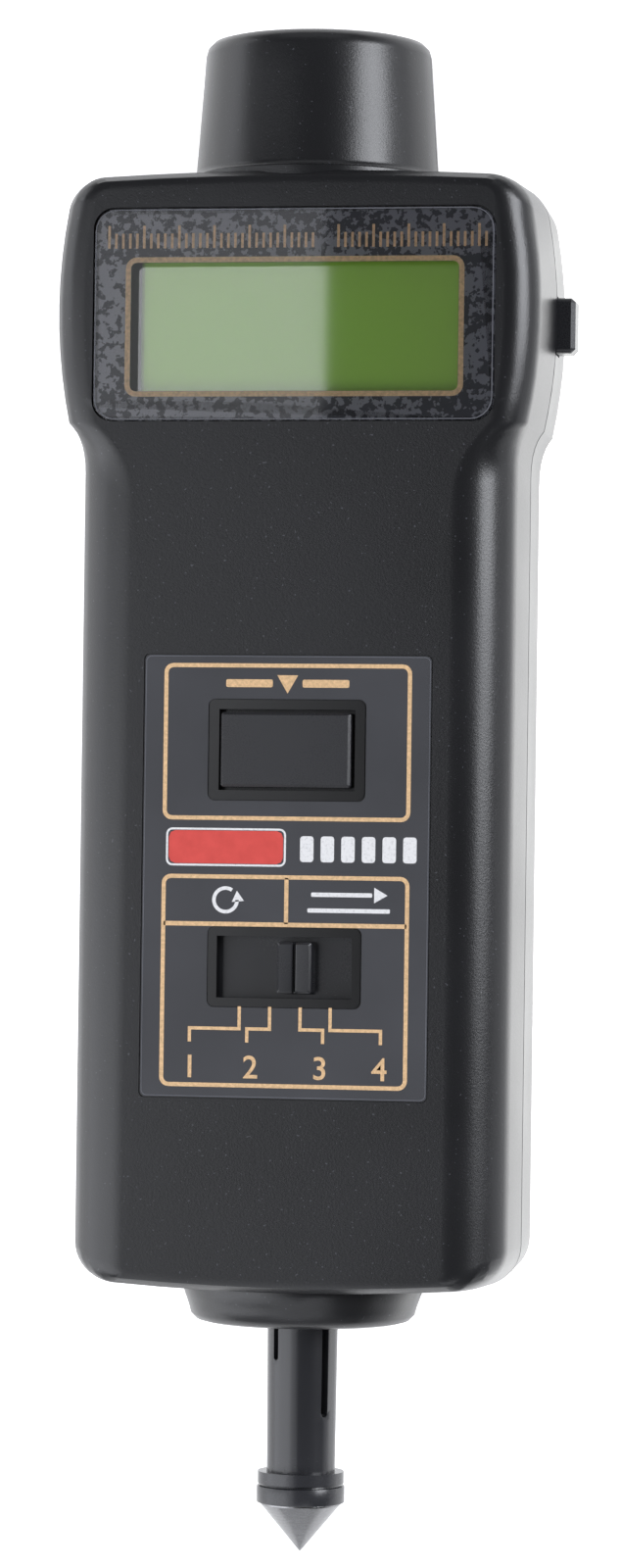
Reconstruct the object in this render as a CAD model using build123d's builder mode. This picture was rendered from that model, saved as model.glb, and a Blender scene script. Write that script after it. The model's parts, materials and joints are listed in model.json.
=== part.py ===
from build123d import *
from math import asin, atan2, cos, degrees, hypot, radians, sin, sqrt, tan
import os

# A hand-held tachometer that reads by light through its snout or by contact through its cone.
# It lies on its back. Z points out of the display face, Y runs towards the light snout and X to the
# right of the reader. The origin is on the flat back, on the long axis, behind the widest part of the
# head. All sizes are millimetres.
os.makedirs("parts", exist_ok=True)

# Case
case_depth = 38.0
grip_width = 62.5
head_overhang = 3.5
head_top = 19.8
grip_bottom = 138.1
neck_corner = 16.0
neck_reach = 6.6
neck_spread = 0.46
neck_angle = 42.0
side_bow = 77.0
top_bow = 500.0
bottom_bow = 330.0
corner_radius = 6.0
grip_corner_ease = 0.6
head_corner_ease = 0.75
wall = 2.2
back_wall = 3.2
draft = 2.0
grip_rounding = 8.0
head_rounding = 4.5
end_rounding = 2.0
back_rounding = 6.0
back_end_rounding = 4.0
seam_chamfer = 0.25
rounding_turns = 5
cavity_turns = 2
turned_steps = 3

# Snout with its optics
snout_end = 39.5
snout_step = 1.7
snout_taper = 1.15
snout_rim_rounding = 2.2
snout_flare = 1.0
snout_wall = 2.95
barrel_clearance = 0.1
barrel_front = 35.0
barrel_back = 15.0
barrel_wall = 2.0
lens_edge = 2.0
lens_crown = 2.4
lens_seat_y = 28.5
lens_shoulder = 1.2
retainer_length = 2.0
divider_thickness = 1.0
divider_length = 9.0
divider_y = 21.5
sensor_board_margin = 0.6
sensor_board_cut = 2.0
lamp_radius = 2.5
lamp_length = 8.6
lamp_offset = 3.6

# Collar, shaft and contact adapter
collar_length = 4.6
collar_step = 1.9
collar_taper = 0.85
collar_rounding = 2.2
collar_wall = 2.2
shaft_radius = 3.0
running_clearance = 0.05
front_bush_radius = 5.0
front_bush_length = 6.6
sleeve_recess_radius = 5.4
sleeve_recess_depth = 1.6
thrust_flange_radius = 4.5
thrust_flange_length = 0.7
sleeve_radius = 5.02
sleeve_foot_radius = 4.87
sleeve_engagement = 0.8
sleeve_flange_radius = 6.15
sleeve_flange_length = 1.7
short_slot_length = 6.2
short_slot_width = 0.95
long_slot_length = 14.2
long_slot_width = 1.2
slot_turn = -39.0
slot_spread = 90.0
shaft_end_gap = 1.5
shaft_reach = 17.3
tip_shoulder = 0.3
cone_tip_blunt = 0.6
shaft_stand = 0.4
adapter_reach = 32.8
tip_flange_radius = 6.28
tip_flange_length = 2.4
tip_groove = 0.35
cone_base_radius = 5.7
cone_length = 6.7
tip_spigot_radius = 2.5
tip_spigot_length = 4.0
disc_side_room = 20.25
disc_thickness = 0.8
disc_hub_radius = 5.0
disc_hub_length = 4.0
disc_setback = 6.2
disc_windows = 10
disc_window_width = 1.8
disc_window_length = 2.4
disc_window_inset = 1.8
rear_bush_radius = 4.5
rear_bush_length = 4.0
clip_radius = 4.6
clip_thickness = 0.6
axial_play = 0.1
bracket_base = 2.0
bracket_base_width = 26.0
bracket_base_length = 7.0
bracket_width = 14.0
bracket_rise = 7.0
bracket_gap = 0.8
pickup_back = 6.0
pickup_reach = 3.8
pickup_length = 7.0
pickup_web = 3.5
pickup_slot = 3.0
pickup_rise = 4.0
pickup_board_drop = 5.6
pickup_board_width = 9.0
pickup_board_length = 12.0
pickup_post_inset = 0.6
pickup_post_width = 4.0
pickup_post_length = 8.0

# Window, display and label
window_margin = 6.42
window_height = 29.71
window_y = -1.09
window_corner = 3.0
window_thickness = 0.8
mask_thickness = 0.15
window_recess = 1.05
fit_gap = 0.15
display_margin = 5.13
display_height = 18.0
display_y = -2.76
display_surround = 0.5
glass_rim = 2.8
glass_end = 2.5
glass_thickness = 2.8
glass_drop = 1.4
glass_clearance = 0.1
display_frame_wall = 1.2
display_frame_opening = 1.0
strip_width = 2.2
strip_inset = 2.0
label_width = 40.5
label_height = 61.68
label_y = -79.51
label_corner = 0.8
label_thickness = 0.2
label_recess = 0.25

# Keys and switches
key_width = 18.26
key_height = 10.35
key_y = -61.86
key_proud = 1.2
key_gap = 0.47
key_bevel = 0.35
key_corner = 0.4
key_stem_radius = 2.5
key_frame_width = 21.97
key_frame_height = 13.87
key_travel = 1.0
key_flange = 1.1
key_flange_thickness = 1.2
key_rest_gap = 0.2
frame_corner = 1.0
knob_width = 4.78
knob_height = 7.1
knob_proud = 0.7
knob_pitch = 3.0
knob_rest = 1.5
switch_y = -92.1
switch_slot_width = 19.1
switch_slot_height = 8.6
switch_frame_width = 21.46
switch_frame_height = 10.97
slide_plate_width = 28.8
slide_plate_height = 10.2
slide_plate_thickness = 0.8
knob_bevel = 0.3
knob_groove = 0.4
knob_groove_depth = 0.8
lever_size = 3.0
lever_gap = 0.05
lever_lift = 1.4
lever_headroom = 0.2
slider_length = 8.0
slider_width = 6.0
slider_height = 2.6
socket_wall = 1.0
socket_lift = 0.6
slide_can_length = 24.0
slide_can_width = 8.4
slide_can_height = 5.2
can_wall = 0.5
side_key_y = -0.9
side_key_length = 7.9
side_key_depth = 5.0
side_key_proud = 2.5
side_key_gap = 0.2
side_key_bevel = 0.6
side_flange_gap = 0.65
side_board_setback = 5.9
side_board_thickness = 1.2
side_board_length = 12.0
side_board_drop = 5.3
button_switch_size = 6.2
button_switch_height = 3.5
plunger_radius = 1.75
plunger_gap = 0.05
plunger_floor = 0.6
plunger_spare = 0.2
plunger_reach = 1.8

# Boards
board_margin = 4.25
board_top = 9.5
board_setback = 30.1
board_thickness = 1.6
board_drop = 11.4
board_post_radius = 2.6
board_post_inset = 4.5
board_post_end = 4.0
board_post_y = -26.0
board_screw_radius = 0.9
board_screw_head_radius = 2.0
board_screw_head_length = 1.2
board_screw_depth = 5.4
chip_size = 14.0
chip_thickness = 1.6
chip_place = (6.0, -40.0)
chip_leads = 6
chip_lead_pitch = 2.0
chip_lead_width = 0.6
chip_lead_length = 1.2
chip_lead_thickness = 0.3
crystal_inset = 6.0
crystal_y = -52.0
crystal_length = 11.0
crystal_width = 4.7
crystal_height = 3.5
crystal_bevel = 0.4

# Battery compartment and cover
cell_radius = 7.1
cell_length = 50.5
cell_nub_radius = 2.75
cell_nub_length = 1.2
cell_gap = 0.5
spring_room = 4.2
drive_room = 23.1
compartment_wall = 1.2
cover_margin = 2.3
cover_thickness = 1.6
cover_lip = 1.2
cover_lip_thickness = 0.8
cover_gap = 0.15
cover_overlap = 2.0
thumb_grip_y = 16.0
thumb_grooves = 5
thumb_groove_pitch = 2.8
thumb_groove_length = 16.0
thumb_groove_width = 1.2
thumb_groove_depth = 0.5
contact_thickness = 0.4
contact_width = 12.0
contact_half_height = 6.0
leaf_width = 6.0
leaf_height = 9.0
leaf_thickness = 0.3

# Screws
post_radius = 2.8
screw_radius = 1.25
screw_length = 16.0
screw_seat_z = 9.0
screw_head_radius = 2.3
screw_head_length = 1.6
screw_clearance = 0.1
grip_screw_inset = 5.95
grip_screw_rise = 8.6
head_screw_inset = 7.35
head_screw_drop = 7.1
grip_post_drop = 4.5
post_rib = 1.6
post_rib_length = 4.1
post_root = 0.6

# Values that follow from the ones above
parting_z = case_depth / 2
half_depth = case_depth / 2
axis_z = parting_z
ceiling_z = case_depth - wall
board_front_z = case_depth - board_drop
board_back_z = board_front_z - board_thickness
board_width = grip_width - 2 * board_margin
board_bottom = grip_bottom - board_setback
snout_root_radius = half_depth - snout_step
snout_mouth_radius = snout_root_radius - snout_taper
snout_bore = snout_mouth_radius - snout_wall
barrel_radius = snout_bore - barrel_clearance
lens_bore = barrel_radius - barrel_wall
lens_radius = lens_bore - barrel_clearance
collar_end = grip_bottom + collar_length
collar_root_radius = half_depth - collar_step
collar_face_radius = collar_root_radius - collar_taper
head_width = grip_width + 2 * head_overhang
window_width = head_width - 2 * window_margin
display_width = window_width - 2 * display_margin
glass_width = display_width + 2 * glass_rim
glass_height = display_height + 2 * glass_end
compartment_start = -grip_bottom + drive_room
compartment_length = 2 * cell_length + 2 * contact_thickness + spring_room
compartment_end = compartment_start + compartment_length
rear_bush_end = compartment_start - compartment_wall - bracket_gap
rear_bush_start = rear_bush_end - rear_bush_length
disc_y = rear_bush_start - disc_setback
disc_radius = grip_width / 2 - disc_side_room
long_axis = Axis((0, 0, axis_z), (0, 1, 0))
long_axis_back = Axis((0, 0, axis_z), (0, -1, 0))


def case_section(z, grip_inset, head_inset, end_inset):
    """The outline of the case at height z, with its sides and ends moved inwards."""
    grip_x = grip_width / 2 - grip_inset
    head_x = head_width / 2 - head_inset
    bottom_y = -grip_bottom + end_inset
    top_y = head_top - end_inset
    grip_corner = corner_radius - grip_corner_ease * grip_inset
    head_corner = corner_radius - head_corner_ease * head_inset

    bottom_center = bottom_y + bottom_bow
    corner_x = grip_x - grip_corner
    corner_y = bottom_center - sqrt((bottom_bow - grip_corner) ** 2 - corner_x**2)
    bottom_angle = degrees(asin(corner_x / (bottom_bow - grip_corner)))

    neck_start = -neck_corner - neck_reach - neck_spread * grip_inset
    side_center = head_x - side_bow
    neck_angle_on_side = degrees(asin(neck_corner / side_bow))
    neck_x = side_center + side_bow * cos(radians(neck_angle_on_side))

    # The upper corner's circle touches the bowed side and the bowed top from inside.
    top_center = top_y - top_bow
    from_side = side_bow - head_corner
    from_top = top_bow - head_corner
    apart = hypot(side_center, top_center)
    along = (from_side**2 - from_top**2 + apart**2) / (2 * apart)
    across = sqrt(from_side**2 - along**2)
    unit_x = -side_center / apart
    unit_y = top_center / apart
    upper_x = side_center + along * unit_x - across * unit_y
    upper_y = along * unit_y + across * unit_x
    side_angle = degrees(atan2(upper_y, upper_x - side_center))
    top_angle = degrees(atan2(upper_y - top_center, upper_x))

    with BuildSketch(Plane.XY.offset(z)) as section:
        with BuildLine():
            CenterArc((0, bottom_center), bottom_bow, 270, bottom_angle)
            CenterArc((corner_x, corner_y), grip_corner, 270 + bottom_angle, 90 - bottom_angle)
            Line((grip_x, corner_y), (grip_x, neck_start))
            Spline(
                (grip_x, neck_start),
                (neck_x, -neck_corner),
                tangents=((0, 1), (sin(radians(neck_angle)), cos(radians(neck_angle)))),
            )
            CenterArc((side_center, 0), side_bow, -neck_angle_on_side, neck_angle_on_side + side_angle)
            CenterArc((upper_x, upper_y), head_corner, side_angle, top_angle - side_angle)
            CenterArc((0, top_center), top_bow, top_angle, 90 - top_angle)
            mirror(about=Plane.YZ)
        make_face()
    return section.sketch


def inset_at(rise, rounding, skin=0.0):
    """How far a wall has come in at a distance from the parting plane: draft, then rounding."""
    inner_rounding = max(rounding - skin, 0.01)
    over = min(max(rise - (half_depth - rounding), 0), inner_rounding)
    return skin + rise * tan(radians(draft)) + inner_rounding - sqrt(inner_rounding**2 - over**2)


def section_at(side, rise, grip_round, head_round, end_round, skin=0.0):
    """A case section on one side of the parting plane: side is 1 for the front, -1 for the back."""
    return case_section(
        parting_z + side * rise,
        inset_at(rise, grip_round, skin),
        inset_at(rise, head_round, skin),
        inset_at(rise, end_round, skin),
    )


def rounding_steps(rounding, reach, turns):
    """Distances from the parting plane that follow a rounding up to its flat face."""
    start = half_depth - rounding
    return [start + reach * sin(radians(90 * turn / turns)) for turn in range(turns + 1)]


def half_block(side, grip_round, head_round, end_round):
    """The solid outer form of one half of the case, with a chamfer along the parting line."""
    largest = max(grip_round, head_round, end_round)
    sections = [case_section(parting_z, seam_chamfer, seam_chamfer, seam_chamfer)]
    for rise in [seam_chamfer] + rounding_steps(largest, largest, rounding_turns):
        sections.append(section_at(side, rise, grip_round, head_round, end_round))
    with BuildPart() as block:
        loft(sections=sections, ruled=True)
    return block.part


def half_cavity(side, grip_round, head_round, end_round, floor):
    """The hollow inside one half of the case, down to its floor."""
    largest = max(grip_round, head_round, end_round)
    steps = [0.0] + rounding_steps(largest, largest - wall, cavity_turns)
    with BuildPart() as cavity:
        rings = [section_at(side, rise, grip_round, head_round, end_round, wall) for rise in steps]
        loft(sections=rings, ruled=True)
        if floor > wall:
            floor_z = parting_z + side * (half_depth - floor)
            with BuildSketch(Plane.XY.offset(floor_z)):
                Rectangle(2 * head_width, 4 * grip_bottom)
            extrude(amount=side * (floor - wall), mode=Mode.SUBTRACT)
    return cavity.part


def turned(profile, side):
    """Half a turn of a profile drawn beside the long axis, on the front or the back of it."""
    with BuildPart() as half:
        add(profile)
        revolve(axis=long_axis_back if side > 0 else long_axis, revolution_arc=180)
    return half.part


def rounded_corner(center, radius, start, end, steps=turned_steps):
    """Points along an arc, for the rounded corner of a turned profile. Angles are in degrees."""
    turns = [radians(start + (end - start) * step / steps) for step in range(steps + 1)]
    return [(center[0] + radius * cos(turn), center[1] + radius * sin(turn)) for turn in turns]


def snout_profile():
    """Wall of the light snout, from inside the head to its rounded mouth."""
    root_y = head_top - wall
    flare_center = (snout_root_radius + snout_flare, head_top + snout_flare)
    rim_center = (snout_mouth_radius - snout_rim_rounding, snout_end - snout_rim_rounding)
    with BuildSketch(Plane.XY.offset(axis_z)) as profile:
        with BuildLine():
            Polyline(
                (snout_bore, root_y),
                (snout_root_radius + snout_flare, root_y),
                *rounded_corner(flare_center, snout_flare, 270, 180),
                *rounded_corner(rim_center, snout_rim_rounding, 0, 90),
                (snout_bore, snout_end),
                (snout_bore, root_y),
            )
        make_face()
    return profile.sketch


def collar_profile():
    """Outer form of the collar round the contact shaft, solid to the axis."""
    root_y = -grip_bottom + wall / 2
    rim_center = (collar_face_radius - collar_rounding, -collar_end + collar_rounding)
    with BuildSketch(Plane.XY.offset(axis_z)) as profile:
        with BuildLine():
            Polyline(
                (0, root_y),
                (collar_root_radius, root_y),
                (collar_root_radius, -grip_bottom),
                *rounded_corner(rim_center, collar_rounding, 0, -90),
                (0, -collar_end),
                (0, root_y),
            )
        make_face()
    return profile.sketch


def shaft_hollow_profile():
    """What is taken out round the shaft: the sleeve's recess, the bush's seat and the collar's hollow."""
    seat_end = -collar_end + sleeve_recess_depth
    boss_radius = front_bush_radius + wall
    inner = -grip_bottom + wall
    with BuildSketch(Plane.XY.offset(axis_z)) as profile:
        with Locations((sleeve_recess_radius / 2, (-collar_end + seat_end) / 2)):
            Rectangle(sleeve_recess_radius, sleeve_recess_depth)
        with Locations((front_bush_radius / 2, seat_end + front_bush_length / 2)):
            Rectangle(front_bush_radius, front_bush_length)
        hollow_radius = collar_face_radius - collar_wall - boss_radius
        hollow_end = -collar_end + collar_wall
        with Locations((boss_radius + hollow_radius / 2, (hollow_end + inner) / 2)):
            Rectangle(hollow_radius, inner - hollow_end)
    return profile.sketch


def boss_profile():
    """Wall of the bush's boss where it stands inside the case."""
    start = -grip_bottom + wall / 2
    end = -collar_end + sleeve_recess_depth + front_bush_length
    with BuildSketch(Plane.XY.offset(axis_z)) as profile:
        with Locations((front_bush_radius + wall / 2, (start + end) / 2)):
            Rectangle(wall, end - start)
    return profile.sketch


def seam_groove(radius_a, y_a, radius_b, y_b):
    """A square bar laid on its edge along the parting line of a turned wall, on both sides."""
    bar = seam_chamfer * sqrt(2)
    length = hypot(radius_b - radius_a, y_b - y_a)
    with BuildPart() as groove:
        line_plane = Plane(
            origin=(radius_a, y_a, parting_z),
            x_dir=(0, 0, 1),
            z_dir=(radius_b - radius_a, y_b - y_a, 0),
        )
        with BuildSketch(line_plane):
            Rectangle(bar, bar, rotation=45)
        extrude(amount=length)
        mirror(about=Plane.YZ)
    return groove.part


snout_groove = seam_groove(snout_root_radius, head_top, snout_mouth_radius, snout_end)
collar_groove = seam_groove(collar_root_radius, -grip_bottom, collar_face_radius, -collar_end)


def case_half(side, grip_round, head_round, end_round, floor):
    """One half of the case as moulded: shell, half of the snout and half of the collar."""
    with BuildPart() as half:
        add(half_block(side, grip_round, head_round, end_round))
        add(turned(collar_profile(), side))
        add(half_cavity(side, grip_round, head_round, end_round, floor), mode=Mode.SUBTRACT)
        add(rod(snout_bore, head_top - wall - 1, head_top + 1), mode=Mode.SUBTRACT)
        add(turned(snout_profile(), side))
        add(turned(shaft_hollow_profile(), side), mode=Mode.SUBTRACT)
        add(turned(boss_profile(), side))
        add(snout_groove, mode=Mode.SUBTRACT)
        add(collar_groove, mode=Mode.SUBTRACT)
    return half.part


def slab(width, length, bottom, top, at=(0, 0), corner=0.0):
    """A flat rectangular block between two heights, centred on a place in plan."""
    with BuildPart() as block:
        with BuildSketch(Plane.XY.offset(bottom)):
            with Locations(at):
                if corner > 0:
                    RectangleRounded(width, length, corner)
                else:
                    Rectangle(width, length)
        extrude(amount=top - bottom)
    return block.part


def peg(radius, bottom, top, at=(0, 0)):
    """An upright cylinder between two heights."""
    with BuildPart() as pin:
        with Locations((*at, (bottom + top) / 2)):
            Cylinder(radius, top - bottom)
    return pin.part


def rod(radius, start, end, at=(0, axis_z), inner=0.0):
    """A cylinder or a tube that lies along Y, between two places on Y."""
    with BuildPart() as bar:
        with Locations(Location((at[0], (start + end) / 2, at[1]), (90, 0, 0))):
            Cylinder(radius, end - start)
            if inner > 0:
                Cylinder(inner, end - start, mode=Mode.SUBTRACT)
    return bar.part


def save(piece, name):
    """Gives a finished piece its name and writes it."""
    piece.label = name
    export_step(piece, f"parts/{name}.step")


# Front case: one black moulding with the window's recess, the label's recess and the openings.
# The label's recess leaves two low islands, the frames round the key and round the switch.
label_plane = Plane.XY.offset(case_depth)
board_post_x = board_width / 2 - board_post_inset
board_posts = [(-board_post_x, -board_bottom + board_post_end), (board_post_x, board_post_y)]
board_screw_end = board_front_z + board_screw_depth
grip_screw_x = grip_width / 2 - grip_screw_inset
head_screw_x = head_width / 2 - head_screw_inset
grip_screws = [(x, -grip_bottom + grip_screw_rise) for x in (-grip_screw_x, grip_screw_x)]
head_screws = [(x, head_top - head_screw_drop) for x in (-head_screw_x, head_screw_x)]
grip_post_top = case_depth - grip_post_drop
screw_end_z = screw_seat_z + screw_length
screw_hole = screw_radius + screw_clearance
board_screw_hole = board_screw_radius + screw_clearance
with BuildPart() as front_case:
    add(case_half(1, grip_rounding, head_rounding, end_rounding, wall))
    with BuildSketch(label_plane):
        with Locations((0, window_y)):
            RectangleRounded(window_width + 2 * fit_gap, window_height + 2 * fit_gap, window_corner)
    extrude(amount=-window_recess, mode=Mode.SUBTRACT)
    with BuildSketch(label_plane):
        with Locations((0, label_y)):
            RectangleRounded(label_width + 2 * fit_gap, label_height + 2 * fit_gap, label_corner)
        with Locations((0, key_y)):
            RectangleRounded(key_frame_width, key_frame_height, frame_corner, mode=Mode.SUBTRACT)
        with Locations((0, switch_y)):
            RectangleRounded(switch_frame_width, switch_frame_height, frame_corner, mode=Mode.SUBTRACT)
    extrude(amount=-label_recess, mode=Mode.SUBTRACT)
    with BuildSketch(label_plane):
        with Locations((0, display_y)):
            Rectangle(display_width + 2 * display_surround, display_height + 2 * display_surround)
        with Locations((0, key_y)):
            Rectangle(key_width + 2 * key_gap, key_height + 2 * key_gap)
        with Locations((0, switch_y)):
            Rectangle(switch_slot_width, switch_slot_height)
    extrude(amount=-2 * wall, mode=Mode.SUBTRACT)
    for place in board_posts:
        add(peg(board_post_radius, board_front_z, ceiling_z + post_root, place))
        add(peg(board_screw_hole, board_front_z, board_screw_end, place), mode=Mode.SUBTRACT)
    for place in head_screws:
        add(peg(post_radius, parting_z, ceiling_z + post_root, place))
    for x, y in grip_screws:
        rib_middle = x * (1 + post_rib_length / (2 * grip_screw_x))
        add(peg(post_radius, parting_z, grip_post_top, (x, y)))
        add(slab(post_rib_length, post_rib, parting_z, grip_post_top, (rib_middle, y)))
    for place in grip_screws + head_screws:
        add(peg(screw_hole, parting_z, screw_end_z + 1, place), mode=Mode.SUBTRACT)
save(front_case.part, "front_case")

# Battery cover: most of the grip's back, lipped on both sides so that it slides along its channel.
cover_slip = -grip_bottom - 1
cover_end = compartment_end + cover_overlap
compartment_width = 2 * (2 * cell_radius + cell_gap)
cover_width = compartment_width + 2 * cover_margin


def cover_bar(gap):
    """The cover's section drawn out along the grip; a gap all round it gives the channel."""
    lip_bottom = cover_thickness - cover_lip_thickness - gap
    top = cover_thickness + gap
    length = cover_end + gap - cover_slip
    middle = cover_end + gap - length / 2
    with BuildPart() as bar:
        add(slab(cover_width + 2 * gap, length, 0, top, (0, middle)))
        add(slab(cover_width + 2 * cover_lip + 2 * gap, length, lip_bottom, top, (0, middle)))
    return bar.part


with BuildPart() as battery_cover:
    add(cover_bar(0))
    add(half_block(-1, back_rounding, back_rounding, back_end_rounding), mode=Mode.INTERSECT)
    with BuildSketch(Plane.XY):
        with Locations((0, -grip_bottom + thumb_grip_y)):
            with GridLocations(0, thumb_groove_pitch, 1, thumb_grooves):
                Rectangle(thumb_groove_length, thumb_groove_width)
    extrude(amount=thumb_groove_depth, mode=Mode.SUBTRACT)
save(battery_cover.part, "battery_cover")

# Rear case: the other half, with the battery compartment, the cover's channel, the screw posts and
# the notch of the side key.
compartment_middle = (0, compartment_start + compartment_length / 2)
compartment_outer_width = compartment_width + 2 * compartment_wall
compartment_outer_length = compartment_length + 2 * compartment_wall
cell_z = cover_thickness + cell_gap / 2 + cell_radius
compartment_top = cell_z + cell_radius + cell_gap
compartment_roof = compartment_top + compartment_wall
side_key_top = parting_z - side_key_gap
side_key_bottom = side_key_top - side_key_depth
pickup_start = -disc_radius - pickup_back
pickup_end = -disc_radius + pickup_reach
pickup_board_z = axis_z - pickup_board_drop
pickup_post = (pickup_start - pickup_post_inset, disc_y)
with BuildPart() as rear_case:
    add(case_half(-1, back_rounding, back_rounding, back_end_rounding, back_wall))
    add(
        slab(
            compartment_outer_width, compartment_outer_length, back_wall / 2, compartment_roof,
            compartment_middle,
        )
    )
    add(
        slab(compartment_width, compartment_length, 0, compartment_top, compartment_middle),
        mode=Mode.SUBTRACT,
    )
    add(cover_bar(cover_gap), mode=Mode.SUBTRACT)
    for place in grip_screws + head_screws:
        add(peg(post_radius, back_wall / 2, parting_z, place))
        add(peg(screw_hole, 0, parting_z, place), mode=Mode.SUBTRACT)
        add(peg(screw_head_radius + screw_clearance, 0, screw_seat_z, place), mode=Mode.SUBTRACT)
    add(slab(pickup_post_width, pickup_post_length, back_wall / 2, pickup_board_z, pickup_post))
    notch_length = side_key_length + 2 * side_key_gap
    notch_bottom = side_key_bottom - side_key_gap
    notch_place = (head_width / 2, side_key_y)
    add(slab(3 * wall, notch_length, notch_bottom, parting_z, notch_place), mode=Mode.SUBTRACT)
save(rear_case.part, "rear_case")

# Window: a dark printed film with an aperture for the display, under a clear panel.
mask_bottom = case_depth - window_recess
panel_bottom = mask_bottom + mask_thickness
with BuildPart() as window_mask:
    add(slab(window_width, window_height, mask_bottom, panel_bottom, (0, window_y), window_corner))
    add(slab(display_width, display_height, mask_bottom, panel_bottom, (0, display_y)), mode=Mode.SUBTRACT)
save(window_mask.part, "window_mask")

with BuildPart() as window_panel:
    panel_top = panel_bottom + window_thickness
    add(slab(window_width, window_height, panel_bottom, panel_top, (0, window_y), window_corner))
save(window_panel.part, "window_panel")

# Label round the key and the switch, with a cut-out for each frame.
label_bottom = case_depth - label_recess
label_top = label_bottom + label_thickness
with BuildPart() as control_label:
    add(slab(label_width, label_height, label_bottom, label_top, (0, label_y), label_corner))
    for width, height, middle in (
        (key_frame_width, key_frame_height, key_y),
        (switch_frame_width, switch_frame_height, switch_y),
    ):
        cutter = slab(
            width + 2 * fit_gap, height + 2 * fit_gap, label_bottom, label_top, (0, middle), frame_corner
        )
        add(cutter, mode=Mode.SUBTRACT)
save(control_label.part, "control_label")

# Display: a glass in a frame that stands on the board, joined to it by two rubber contact strips.
glass_top_z = ceiling_z - glass_drop
glass_bottom = glass_top_z - glass_thickness
strip_length = glass_width - 2 * strip_inset
strip_offset = glass_height / 2 - strip_inset
with BuildPart() as lcd_glass:
    add(slab(glass_width, glass_height, glass_bottom, glass_top_z, (0, display_y)))
save(lcd_glass.part, "lcd_glass")

frame_inner_width = glass_width + 2 * glass_clearance
frame_inner_height = glass_height + 2 * glass_clearance
frame_top = ceiling_z - glass_clearance
with BuildPart() as lcd_frame:
    outer_width = frame_inner_width + 2 * display_frame_wall
    outer_height = frame_inner_height + 2 * display_frame_wall
    lip_bottom = glass_top_z + glass_clearance
    opening_width = display_width + 2 * display_frame_opening
    opening_height = display_height + 2 * display_frame_opening
    add(slab(outer_width, outer_height, board_front_z, frame_top, (0, display_y), display_frame_wall))
    add(
        slab(frame_inner_width, frame_inner_height, board_front_z, lip_bottom, (0, display_y)),
        mode=Mode.SUBTRACT,
    )
    add(slab(opening_width, opening_height, lip_bottom, frame_top, (0, display_y)), mode=Mode.SUBTRACT)
save(lcd_frame.part, "lcd_frame")

for name, offset in (("upper_strip", strip_offset), ("lower_strip", -strip_offset)):
    with BuildPart() as contact_strip:
        add(slab(strip_length, strip_width, board_front_z, glass_bottom, (0, display_y + offset)))
    save(contact_strip.part, name)

# Main board with its screws. Its parts face the back, the display and the switches face the front.
board_middle = (0, (board_top - board_bottom) / 2)
with BuildPart() as main_board:
    add(slab(board_width, board_top + board_bottom, board_back_z, board_front_z, board_middle, 1.0))
    for place in board_posts:
        add(peg(board_screw_hole, board_back_z, board_front_z, place), mode=Mode.SUBTRACT)
save(main_board.part, "main_board")


def cross_slot(place, bottom, top, length):
    """A crossed slot for a driver, cut into the face of a screw's head."""
    with BuildPart() as cross:
        add(slab(length, length / 4, bottom, top, place))
        add(slab(length / 4, length, bottom, top, place))
    return cross.part


for number, place in enumerate(board_posts, start=1):
    head_bottom = board_back_z - board_screw_head_length
    with BuildPart() as board_screw:
        add(peg(board_screw_head_radius, head_bottom, board_back_z, place))
        add(peg(board_screw_radius, board_back_z, board_screw_end - screw_clearance, place))
        slot_top = head_bottom + board_screw_head_length / 2
        add(cross_slot(place, head_bottom, slot_top, board_screw_head_radius), mode=Mode.SUBTRACT)
    save(board_screw.part, f"board_screw_{number}")

for number, place in enumerate(grip_screws + head_screws, start=1):
    head_bottom = screw_seat_z - screw_head_length
    with BuildPart() as case_screw:
        add(peg(screw_head_radius, head_bottom, screw_seat_z, place))
        add(peg(screw_radius, screw_seat_z, screw_end_z, place))
        slot_top = head_bottom + screw_head_length / 2
        add(cross_slot(place, head_bottom, slot_top, 1.3 * screw_head_radius), mode=Mode.SUBTRACT)
    save(case_screw.part, f"case_screw_{number}")

with BuildPart() as controller_chip:
    chip_bottom = board_back_z - chip_thickness
    add(slab(chip_size, chip_size, chip_bottom, board_back_z, chip_place))
    for turn in (0, 90):
        with Locations(Location((*chip_place, board_back_z - chip_lead_thickness / 2), turn)):
            with GridLocations(0, chip_lead_pitch, 1, chip_leads):
                Box(chip_size + 2 * chip_lead_length, chip_lead_width, chip_lead_thickness)
save(controller_chip.part, "controller_chip")

with BuildPart() as crystal:
    with BuildSketch(Plane.XY.offset(board_back_z)):
        with Locations((-board_width / 2 + crystal_inset, crystal_y)):
            SlotOverall(crystal_length, crystal_width, rotation=90)
    extrude(amount=-crystal_height)
    chamfer(crystal.faces().sort_by(Axis.Z)[0].edges(), crystal_bevel)
save(crystal.part, "crystal")

# Big key: the cap stands in its hole, the flange behind it keeps it in, the stem presses the plunger.
key_flange_top = ceiling_z - key_rest_gap
key_flange_bottom = key_flange_top - key_flange_thickness
key_top = case_depth + key_proud
plunger_end_z = board_front_z + button_switch_height + plunger_reach
with BuildPart() as memory_key:
    add(slab(key_width, key_height, key_flange_bottom, key_top, (0, key_y), key_corner))
    chamfer(memory_key.faces().sort_by(Axis.Z)[-1].edges(), key_bevel)
    flange_width = key_width + 2 * key_flange
    flange_height = key_height + 2 * key_flange
    add(slab(flange_width, flange_height, key_flange_bottom, key_flange_top, (0, key_y)))
    add(peg(key_stem_radius, plunger_end_z, key_flange_bottom, (0, key_y)))
save(memory_key.part, "memory_key")

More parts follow.
